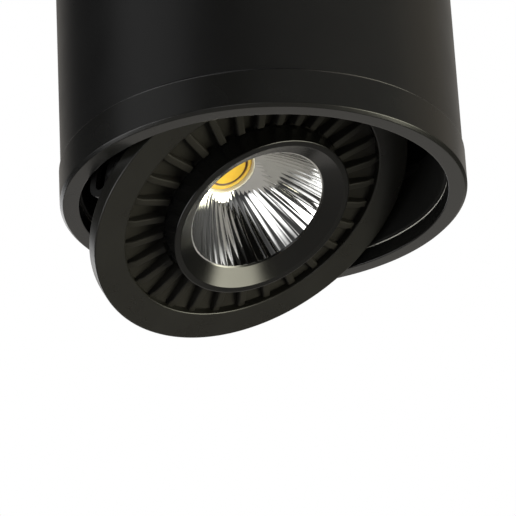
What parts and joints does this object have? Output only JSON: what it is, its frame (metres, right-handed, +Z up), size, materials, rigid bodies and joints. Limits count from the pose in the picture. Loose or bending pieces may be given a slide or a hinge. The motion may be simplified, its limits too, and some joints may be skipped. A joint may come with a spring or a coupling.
{
  "type": "ceiling spotlight",
  "caption": "Surface mounted cylindrical ceiling spotlight whose finned lamp head turns in the mouth of the housing and tilts out of it on curved slots.",
  "frame": {"origin": "middle of the ceiling plate's upper face, where the lamp meets the ceiling", "axes": "+Z up along the housing, out of the ceiling plate's upper face, so the lamp hangs below zero; the head at rest looks down and towards +X, and its tilt axis runs along Y"},
  "size_m": [0.12, 0.1212, 0.1352],
  "materials": {
    "zinc_steel": "zinc plated sheet steel",
    "black_rubber": "matt moulded rubber",
    "brass": "turned",
    "driver_plastic": "moulded, fine spark texture",
    "terminal_plastic": "moulded",
    "screw_steel": "zinc plated",
    "powder_coat": "satin black powder coat",
    "black_screw": "black oxide",
    "satin_black": "satin black paint on turned aluminium",
    "spring_steel": "phosphated",
    "nylon": "natural",
    "black_steel": "black e-coat",
    "head_black": "satin black paint on die cast aluminium",
    "bright_reflector": "vacuum metallised, fluted",
    "holder_plastic": "moulded",
    "board_ceramic": "white alumina",
    "thermal_pad": "soft silicone sheet",
    "phosphor": "yellow phosphor gel",
    "dam_silicone": "dispensed silicone"
  },
  "bodies": {
    "housing": {"ceiling_plate": "zinc_steel", "cable_grommet": "black_rubber", "earth_screw": "brass", "driver_case": "driver_plastic", "driver_lid": "driver_plastic", "terminal_block": "terminal_plastic", "terminal_screws": "screw_steel", "plate_screws": "screw_steel", "housing_tube": "powder_coat", "side_screws": "black_screw", "collar": "satin_black", "stop_pin": "spring_steel", "glide_washer": "nylon", "friction_ring": "nylon", "circlip": "spring_steel"},
    "swivel": {"turning_ring": "satin_black", "hinge_bracket_right": "black_steel", "hinge_bracket_left": "black_steel", "bracket_screws": "black_screw", "hinge_pins": "screw_steel", "friction_washers": "nylon"},
    "head": {"heat_sink": "head_black", "sector_plate_right": "black_steel", "sector_plate_left": "black_steel", "sector_screws": "black_screw", "lead_gland": "black_rubber", "bezel": "head_black", "reflector": "bright_reflector", "led_holder": "holder_plastic", "holder_screws": "screw_steel", "led_board": "board_ceramic", "thermal_pad": "thermal_pad", "led_emitter": "phosphor", "emitter_dam": "dam_silicone"}
  },
  "joints": [
    {"name": "ring_swivel", "type": "hinge", "parent": "housing", "child": "swivel", "pos_m": [0, 0, -0.1], "axis": [0, 0, 1], "range_deg": [-176, 176]},
    {"name": "head_tilt", "type": "hinge", "parent": "swivel", "child": "head", "pos_m": [0, 0, -0.1161], "axis": [0, -1, 0], "range_deg": [-60, 0]}
  ]
}
